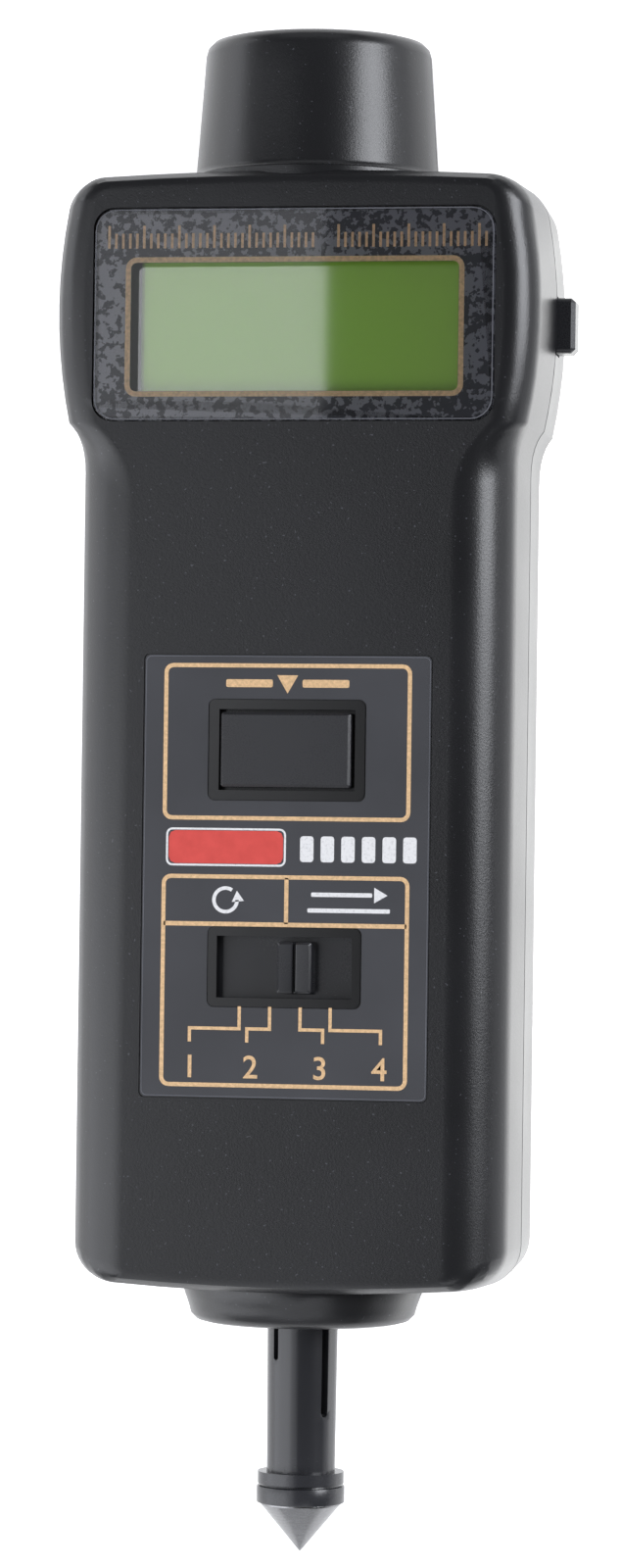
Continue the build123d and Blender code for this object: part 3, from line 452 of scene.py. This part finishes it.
# The edges of the panel and of the label catch the light all round. A painted highlight shows each as a
# thin uneven pale line that lies just inside the piece's outline.
# Painted highlight: a pale finish for the lit edges of the panel and the label.
painted_edge_highlight = moulded("painted_edge_highlight", 0.12, 0.5, 0.3)
rim_inset = 0.15 * MM


def painted_rim_highlight(name, node, corner, line):
    """A painted highlight: a thin pale line on the rim of a flat piece."""
    low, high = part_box(node)
    width = high[0] - low[0] - 2 * rim_inset
    height = high[1] - low[1] - 2 * rim_inset
    finished(print_frame(name, middle(node), width, height, line, corner, high[2]), "case", painted_edge_highlight)


painted_rim_highlight("panel_rim_highlight", "window_panel", corner=3.0 * MM, line=0.13 * MM)
painted_rim_highlight("label_rim_highlight", "control_label", corner=0.8 * MM, line=0.09 * MM)

# Above the display the film carries a plain gold scale, screened on with the display's line. It is drawn
# in two runs of ticks, and each fifth tick is tall.
tick_width = 0.38 * MM
scale_foot = 8.25 * MM


def model_tick(name, height):
    """A tick that stands on the scale's foot, in the middle of the film."""
    return print_bar(name, (0, scale_foot + height / 2), tick_width, height, film_top)


def copied(piece, across):
    """A copy of a printed mark with its own mesh, moved sideways in that mesh."""
    copy = piece.copy()
    copy.data = piece.data.copy()
    copy.data.transform(Matrix.Translation((across, 0, 0)))
    bpy.context.scene.collection.objects.link(copy)
    return copy


tall_tick = model_tick("tall_tick", 3.2 * MM)
short_tick = model_tick("short_tick", 2.1 * MM)
scale_ticks = []
for first, last, count in ((-26.4, 2.6, 30), (6.2, 27.0, 22)):
    pitch = (last - first) / (count - 1)
    for number in range(count):
        model = short_tick if number % 5 else tall_tick
        scale_ticks.append(copied(model, (first + pitch * number) * MM))
for model in (tall_tick, short_tick):
    bpy.data.objects.remove(model)
finished(join("scale_ticks", scale_ticks), "case", film_gold_painted_light)

# The display is a green glass in a grey frame, set back under the film. Two rubber strips join it to
# the board.
bezel_shadow_edge = -22 * MM


def display_green():
    """Liquid crystal glass: yellow-green, with a painted reflection and a painted shadow on its left."""
    finish = Finish("display_green")
    across = finish.axis(0)
    clouds = finish.noise(9.0, 2.0)
    # Painted reflection: the green is lighter to the left, where the glass mirrors a light, and deeper to
    # the right.
    painted_reflection_fade = finish.limit(across + clouds * (4 * MM), -12 * MM, 24 * MM)
    green = finish.mix(painted_reflection_fade, (0.46, 0.86, 0.10, 1), (0.43, 0.77, 0.11, 1))
    # Painted shadow: a dark strip along the left edge stands for the bezel's shadow.
    painted_bezel_shadow = finish.limit(across, bezel_shadow_edge - 0.3 * MM, bezel_shadow_edge + 0.3 * MM, 1.0, 0.0)
    bezel_shadow_dark = (0.07, 0.085, 0.06, 1)
    return finish.surface(Base_Color=finish.mix(painted_bezel_shadow, green, bezel_shadow_dark), Roughness=0.03, IOR=2.15)


skin("lcd_glass", display_green())
frame_grey = moulded("frame_grey", 0.10, 0.55)
skin("lcd_frame", frame_grey)
strip_rubber = moulded("strip_rubber", 0.16, 0.7, 0.6)
for node in ("upper_strip", "lower_strip"):
    skin(node, strip_rubber)

# The label is a dark film in a shallow recess, cut out for the two frames that belong to the case. Its
# gold lines box the big key and the range switch, and numbers name the switch's four places.
label_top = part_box("control_label")[1][2]
label_film = moulded("label_film", 0.041, 0.5, 0.12, 0.004)
skin("control_label", label_film, 0.08)
gold_ink = gold_print("gold_ink", (0.74, 0.49, 0.265))

box_line = 0.58 * MM
box_width = 35.0 * MM
box_corner = 1.3 * MM


def label_box(name, along, height):
    """A gold box round one of the keys."""
    box = print_frame(name, (0, along), box_width, height, box_line, box_corner, label_top)
    finished(box, "case", gold_ink)


label_box("key_box", key_y + 1.1 * MM, 21.85 * MM)
label_box("switch_box", switch_y - 1.97 * MM, 29.6 * MM)
divider_y = -86.16 * MM
level_line = print_bar("across", (0, divider_y), 34.3 * MM, 0.62 * MM, label_top)
short_line = print_bar("between", (0.2 * MM, divider_y + 3.31 * MM), box_line, 6.4 * MM, label_top)
finished(join("divider", [level_line, short_line]), "case", gold_ink)

lead_line = 0.46 * MM
lead_top = -97.5 * MM
lead_turn = -100.7 * MM
lead_foot = -102.6 * MM


def upright_line(across, top, foot):
    """The upright stretch of a lead."""
    return print_bar("lead", (across, (top + foot) / 2), lead_line, top - foot, label_top, rounding=0)


leads = []
for start, end in ((-6.24, -13.27), (-1.94, -5.14), (2.36, 5.58), (6.60, 13.71)):
    leads.append(upright_line(start * MM, lead_top, lead_turn + lead_line / 2))
    leads.append(upright_line(end * MM, lead_turn - lead_line / 2, lead_foot))
    between = ((start + end) / 2 * MM, lead_turn)
    length = abs(end - start) * MM + lead_line
    leads.append(print_bar("lead", between, length, lead_line, label_top, rounding=0))
finished(join("leads", leads), "case", gold_ink)

numbers_y = -106.2 * MM
number_size = 4.48 * MM
stroke_spread = 0.04 * MM


def numeral(text, across):
    """A printed number: text made a mesh, with its place in the mesh."""
    deselect()
    bpy.ops.object.text_add(location=(across, numbers_y, label_top))
    piece = bpy.context.object
    piece.data.body = text
    piece.data.size = number_size
    piece.data.align_x = "CENTER"
    piece.data.align_y = "CENTER"
    piece.data.extrude = ink_height / 2
    piece.data.offset = stroke_spread
    bpy.ops.object.convert(target="MESH")
    bpy.ops.object.transform_apply(location=True, rotation=True, scale=True)
    piece.name = "number_" + text
    finished(piece, "case", gold_ink)


for text, across in (("1", -13.2), ("2", -4.6), ("3", 5.2), ("4", 13.6)):
    numeral(text, across * MM)


def new_disc(name, corners, radius, centre, turn=(0, 0, 0)):
    """A flat disc or polygon with its place and turn in its mesh, left in edit mode."""
    deselect()
    bpy.ops.mesh.primitive_circle_add(
        vertices=corners, radius=radius, fill_type="NGON", location=centre, rotation=turn
    )
    piece = bpy.context.object
    piece.name = name
    bpy.ops.object.transform_apply(location=True, rotation=True, scale=True)
    bpy.ops.object.mode_set(mode="EDIT")
    return piece


def triangle(name, centre, size, turn):
    """A triangle printed on the label, its point turned the way that is asked for."""
    return thicken(new_disc(name, 3, size, (*centre, label_top), (0, 0, turn)))


mark_y = -52.6 * MM
bar_x = 5.4 * MM
left_bar = print_bar("left_bar", (-bar_x, mark_y), 6.6 * MM, 1.1 * MM, label_top)
right_bar = copied(left_bar, 2 * bar_x)
pointer = triangle("pointer", (0, mark_y + 0.3 * MM), 1.7 * MM, pi)
finished(join("key_mark", [left_bar, right_bar, pointer]), "case", gold_ink)

# Between the two boxes the label carries a red field with a white rim, and a row of six white steps.
# These are inks too, screened on after the gold.


def white_print():
    """White ink, a little worn."""
    finish = Finish("white_print")
    wear = finish.noise(0.4, 3.0, 0.7)
    worn = (0.55, 0.55, 0.56, 1)
    white = (0.78, 0.78, 0.79, 1)
    return finish.surface(Base_Color=finish.ramp(wear, worn, white, 0.25, 0.5), Roughness=0.5)


def red_print():
    """Red ink, laid evenly."""
    finish = Finish("red_print")
    clouds = finish.noise(2.0, 3.0)
    red = finish.ramp(clouds, (0.60, 0.055, 0.045, 1), (0.68, 0.07, 0.058, 1))
    return finish.surface(Base_Color=red, Roughness=0.45)


white_ink = white_print()
red_middle = (-8.45 * MM, -75.45 * MM)
red_field = print_bar("red_field", red_middle, 16.2 * MM, 4.6 * MM, label_top)
finished(red_field, "case", red_print())
red_rim = print_frame("red_rim", red_middle, 17.0 * MM, 5.3 * MM, 0.28 * MM, 0.9 * MM, label_top)
finished(red_rim, "case", white_ink)

step_pitch = 2.9 * MM
step = print_bar("step", (3.0 * MM, -75.6 * MM), 1.9 * MM, 3.6 * MM, label_top)
steps = [step] + [copied(step, step_pitch * number) for number in range(1, 6)]
finished(join("white_steps", steps), "case", white_ink)

# Two white signs name the halves of the switch: a turning arrow for turns, a straight one over a line
# for the speed of a surface.
sign_line = 0.6 * MM
ring_line = 0.5 * MM
gap_angle = 1.0


def turning_arrow(centre, radius):
    """A ring with a gap and an arrow head at its end."""
    ring = new_disc("turn_sign", 32, radius, (*centre, label_top))
    hollow(ring_line)
    mesh = bmesh.from_edit_mesh(ring.data)
    for face in mesh.faces:
        place = face.calc_center_median()
        face.select = 0.0 < atan2(place.y - centre[1], place.x - centre[0]) < gap_angle
    bmesh.update_edit_mesh(ring.data)
    bpy.ops.mesh.delete(type="FACE")
    thicken(ring)
    head = triangle("head", (centre[0] + radius - 0.2 * MM, centre[1] + 0.3 * MM), 1.0 * MM, 0.1)
    return join("turn_sign", [ring, head])


finished(turning_arrow((-8.4 * MM, -82.8 * MM), 1.9 * MM), "case", white_ink)
arrow_y = -81.9 * MM
arrow_shaft = print_bar("shaft", (8.0 * MM, arrow_y), 8.6 * MM, sign_line, label_top)
arrow_head = triangle("head", (13.2 * MM, arrow_y), 1.25 * MM, -pi / 2)
ground_line = print_bar("ground", (9.0 * MM, arrow_y - 2.2 * MM), 11.6 * MM, sign_line, label_top)
finished(join("speed_sign", [arrow_shaft, arrow_head, ground_line]), "case", white_ink)

# The big key and the side key are moulded caps, smoother than the case. The range switch has a knob on
# a plate that slides under the face. Grey plungers and a lever pass their strokes to the switches inside.
key_black = moulded("key_black", 0.018, 0.27, 0.15, 0.004)
for node in ("memory_key", "side_key", "switch_cap"):
    skin(node, key_black, 0.2)
for node in ("key_plunger", "side_plunger", "switch_lever"):
    skin(node, frame_grey)

# The light snout holds a moulded barrel with a lens and its ring, and behind them a red lamp and a dark
# sensor. The slotted disc of the contact drive is the same black plastic as the barrel.
barrel_black = moulded("barrel_black", 0.012, 0.6, 0.5, 0.02)
for node in ("lens_holder", "lens_retainer", "encoder_disc"):
    skin(node, barrel_black)
skin("lens", clear("lens_clear", 1.5, tint=(0.97, 1.0, 0.99, 1)))


def dyed_epoxy(name, colour):
    """Dyed clear epoxy, glossy, with a cloudy middle."""
    finish = Finish(name)
    clouds = finish.noise(1.5, 2.0)
    return finish.surface(Base_Color=finish.ramp(clouds, shade(colour, 0.6), shade(colour)), Roughness=0.12)


skin("lamp", dyed_epoxy("lamp_red", (0.55, 0.03, 0.02)))
skin("photo_sensor", dyed_epoxy("sensor_dark", (0.03, 0.015, 0.035)))

# The boards are green laminate with buried tracks. The chip, the light barrier and the two push
# switches are black, the crystal and the slide switch have tinned cans.


def laminate():
    """Green solder mask over copper tracks that show as paler, raised lines."""
    finish = Finish("laminate")
    black = (0, 0, 0, 1)
    layout = {
        "Vector": finish.place,
        "Scale": 130.0,
        "Color1": black,
        "Color2": black,
        "Mortar": (1, 1, 1, 1),
        "Mortar Size": 0.06,
    }
    tracks = finish.node("ShaderNodeTexBrick", {"offset": 0.5}, layout, "Color")
    weave = finish.noise(0.7, 2.0)
    return finish.surface(
        Base_Color=finish.mix(tracks, (0.012, 0.10, 0.04, 1), (0.03, 0.20, 0.07, 1)),
        Roughness=finish.limit(weave, 0.3, 0.7, 0.28, 0.4),
        Normal=finish.bump(tracks, 0.03),
    )


def drawn_metal(name, tone, rough, stretch=(1, 1, 1), tint=(1, 1, 1)):
    """Bare metal. Its grain is fine in the gloss, and drawn out into lines where it is stretched."""
    finish = Finish(name)
    scaled = finish.node("ShaderNodeMapping", None, {"Vector": finish.place, "Scale": stretch})
    lines = finish.noise(0.5, 3.0, 0.7, place=scaled)
    return finish.surface(
        Base_Color=finish.ramp(lines, shade(tint, tone * 0.85), shade(tint, tone * 1.1)),
        Roughness=finish.limit(lines, 0.3, 0.7, rough - 0.06, rough + 0.08),
        Metallic=1.0,
    )


board_green = laminate()
for node in ("main_board", "side_board", "sensor_board", "pickup_board"):
    skin(node, board_green)
chip_black = moulded("chip_black", 0.02, 0.6, 0.1, 0.01)
for node in ("controller_chip", "photo_interrupter", "key_switch", "side_switch"):
    skin(node, chip_black)
tinned = drawn_metal("tinned", 0.55, 0.3, (1, 12, 1))
for node in ("crystal", "slide_switch"):
    skin(node, tinned)

# The contact drive is a ground steel shaft in two sintered bronze bushes. The front bush sits in the
# collar, the rear one in a grey moulded bracket, and a clip keeps the shaft in its place.
skin("shaft_clip", tinned)
skin("bearing_bracket", frame_grey)
skin("contact_shaft", drawn_metal("ground_steel", 0.68, 0.2, (1, 30, 1)))
sintered = drawn_metal("sintered", 0.5, 0.4, tint=(1.0, 0.72, 0.42))
for node in ("front_bush", "rear_bush"):
    skin(node, sintered)

# The contact adapter is a slotted black sleeve that grips the shaft, a ring of the same plastic, and a
# turned steel cone that is pressed into the centre hole of a running shaft.
sleeve_black = moulded("sleeve_black", 0.024, 0.26, 0.5, 0.0012)
skin("adapter_sleeve", sleeve_black, 0.14)


def turned(name, node, profile, material):
    """A solid turned about the long axis, in a node's place: a disc extruded and resized step by step."""
    height = middle(node)[2]
    radius, along = profile[0]
    piece = new_disc(name, 72, radius, (0, along, height), (pi / 2, 0, 0))
    bpy.ops.mesh.select_mode(type="FACE")
    bpy.ops.mesh.select_all(action="SELECT")
    for (before, start), (after, end) in zip(profile, profile[1:]):
        bpy.ops.mesh.extrude_region_move(TRANSFORM_OT_translate={"value": (0, end - start, 0)})
        share = after / before
        bpy.ops.transform.resize(value=(share, 1, share), center_override=(0, end, height))
    bpy.ops.mesh.select_all(action="SELECT")
    bpy.ops.mesh.normals_make_consistent(inside=False)
    bpy.ops.object.mode_set(mode="OBJECT")
    ease(piece, 0.12, 30)
    smooth()
    stand_in(piece, node, material)


base_radius = 5.7 * MM
flange_radius = 6.28 * MM
ring_end, ring_start = (corner[1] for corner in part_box("tip_ring"))
groove_end = ring_end + 2.4 * MM
ring_profile = [
    (base_radius, ring_start),
    (base_radius, groove_end),
    (flange_radius, groove_end),
    (flange_radius, ring_end),
]
turned("turned_ring", "tip_ring", ring_profile, sleeve_black)

cone_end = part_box("cone_tip")[0][1]
shoulder_end = ring_end - 0.3 * MM
blunt = 0.6 * MM
flat_radius = 0.05 * MM


def turned_steel():
    """Turned steel: fine rings round the long axis, about 0.9 mm apart, in the gloss and in the height."""
    finish = Finish("turned_steel")
    across = finish.axis(0)
    upright = finish.axis(2) - middle("cone_tip")[2]
    along = finish.axis(1)
    out = finish.math("SQRT", across * across + upright * upright)
    rings = finish.math("SINE", (along + out) * 7000.0)
    clouds = finish.noise(0.6, 3.0, 0.7)
    return finish.surface(
        Base_Color=finish.ramp(clouds, (0.22, 0.22, 0.225, 1), (0.25, 0.25, 0.255, 1)),
        Roughness=finish.limit(rings * 0.2 + clouds, 0.2, 0.9, 0.22, 0.30),
        Metallic=1.0,
        Normal=finish.bump(rings, 0.0004),
    )


cone_profile = [
    (base_radius, ring_end),
    (base_radius, shoulder_end),
    (blunt, cone_end + blunt),
    (flat_radius, cone_end),
]
turned("steel_cone", "cone_tip", cone_profile, turned_steel())

# Four cells lie in the grip behind the cover, two beside two. Their cans have a printed sleeve, and
# sprung contacts join them.


def printed_can():
    """Shrunk plastic sleeve on a steel can: dark blue, with faint clouds."""
    finish = Finish("printed_can")
    clouds = finish.noise(3.0, 2.0)
    grains = finish.noise(0.3, 2.0)
    return finish.surface(
        Base_Color=finish.ramp(clouds, (0.02, 0.045, 0.12, 1), (0.03, 0.06, 0.16, 1)),
        Roughness=finish.limit(grains, 0.3, 0.7, 0.25, 0.35),
        Metallic=0.2,
    )


can_blue = printed_can()
for number in range(1, 5):
    skin(f"battery_{number}", can_blue)
for node in ("positive_contact", "negative_contact", "bridge_contact"):
    skin(node, tinned)

# Four long steel screws go in from the back, through posts, into the front half. Two short ones hold the
# main board to the front.
screw_steel = drawn_metal("screw_steel", 0.42, 0.35)
for number in range(1, 5):
    skin(f"case_screw_{number}", screw_steel)
for number in range(1, 3):
    skin(f"board_screw_{number}", screw_steel)

# The surface under it is a wide pale sheet that glows, with a painted glowing strip along the right wall
# for the case's side to mirror. It lies a hair lower than the case's back, so that the two never share a
# plane.
sheet_top = -0.02 * MM


def pale_sheet():
    """White sheet that glows, brightest in a painted glowing strip by the long right wall, dimmer farther
    right.
    """
    finish = Finish("pale_sheet")
    clouds = finish.noise(60.0, 2.0)
    across = finish.axis(0)
    along = finish.axis(1)
    # Painted light: a glowing strip along the right wall, which the case's side mirrors.
    beside = finish.limit(across, 26 * MM, 34 * MM) * finish.limit(across, 44 * MM, 54 * MM, 1.0, 0.0)
    beside = beside * finish.limit(along, 24 * MM, 12 * MM) * finish.limit(along, -180 * MM, -150 * MM)
    beyond = finish.limit(across, 48 * MM, 100 * MM)
    white = finish.ramp(clouds, (0.90, 0.90, 0.90, 1), (0.92, 0.92, 0.92, 1))
    lit = finish.mix(beyond, (0.72, 0.72, 0.72, 1), (0.15, 0.15, 0.15, 1))
    return finish.surface(
        Base_Color=finish.mix(beyond, white, (0.66, 0.66, 0.66, 1)),
        Roughness=0.9,
        Emission_Color=finish.mix(beside, lit, (1.6, 1.6, 1.58, 1)),
        Emission_Strength=1.0,
    )


deselect()
bpy.ops.mesh.primitive_plane_add(size=6, location=(0, 0, sheet_top))
floor = bpy.context.object
floor.name = "floor"
floor.data.materials.append(pale_sheet())

# The light comes from a dim room and from soft cards: a tall one in three parts that leans in from the
# left, a low one left of the snout, a small strong one up on the right, a faint one beyond the snout,
# and two before the tip that light the end and the collar.
world = bpy.data.worlds.new("room")
world.use_nodes = True
world.node_tree.nodes["Background"].inputs["Color"].default_value = (1, 1, 1, 1)
world.node_tree.nodes["Background"].inputs["Strength"].default_value = 0.12
bpy.context.scene.world = world
card_white = (0.96, 0.98, 1.03)


def soft_card(name, place, aim, width, height, radiance):
    """A rectangular soft light that faces a point. Its strength is the brightness of its face."""
    data = bpy.data.lights.new(name, "AREA")
    data.shape = "RECTANGLE"
    data.size = width
    data.size_y = height
    data.energy = radiance * pi * width * height
    data.color = card_white
    light = bpy.data.objects.new(name, data)
    bpy.context.scene.collection.objects.link(light)
    light.location = place
    light.rotation_euler = (Vector(aim) - Vector(place)).to_track_quat("-Z", "Y").to_euler()
    light.visible_camera = False


soft_card("near_card", (-0.713, -0.425, 0.391), (0.028, -0.425, -0.28), 0.69, 1.0025, radiance=2.85)
soft_card("near_card_top", (-0.27, -0.425, 0.881), (0.471, -0.425, 0.21), 0.69, 0.32, radiance=1.3)
soft_card("far_card", (-0.606, 0.035, 0.51), (0.135, 0.035, -0.161), 0.23, 1.3225, radiance=1.45)
soft_card("low_card", (-1.1, 0.5, 0.22), (0, 0.1, 0.02), 0.8, 0.44, radiance=2.0)
soft_card("right_card", (0.80, 0.22, 0.39), (0, 0.0, 0.02), 0.54, 0.48, radiance=10.0)
soft_card("back_card", (0.0, 1.3, 0.7), (0, 0, 0.02), 1.4, 0.7, radiance=0.5)
soft_card("end_card", (0.08, -0.78, 0.72), (0, -0.15, 0.02), 0.9, 0.36, radiance=1.5)
soft_card("low_end_card", (0.0, -1.3, 0.27), (0, -0.15, 0.02), 1.5, 0.5, radiance=0.8)

# The camera stands where the photographer's did: 0.70 m above the face, 10 degrees to its right. Its
# place, turn and focal length were fitted to the outline of the object.
sensor_height = 36.0
photo_height = 1600
focal_pixels = 5225.3
camera_data = bpy.data.cameras.new("camera")
camera_data.sensor_fit = "VERTICAL"
camera_data.sensor_height = sensor_height
camera_data.lens = sensor_height * focal_pixels / photo_height
camera_data.clip_start = 0.01
camera = bpy.data.objects.new("camera", camera_data)
bpy.context.scene.collection.objects.link(camera)
place = Vector((0.125608, -0.076099, 0.738714))
right = Vector((0.985062, 0.013152, -0.171698))
up = Vector((-0.010648, 0.999823, 0.015497))
turn = Matrix((right, up, right.cross(up))).transposed()
camera.matrix_world = Matrix.Translation(place) @ turn.to_4x4()
bpy.context.scene.camera = camera
bpy.context.scene.view_settings.view_transform = "Standard"
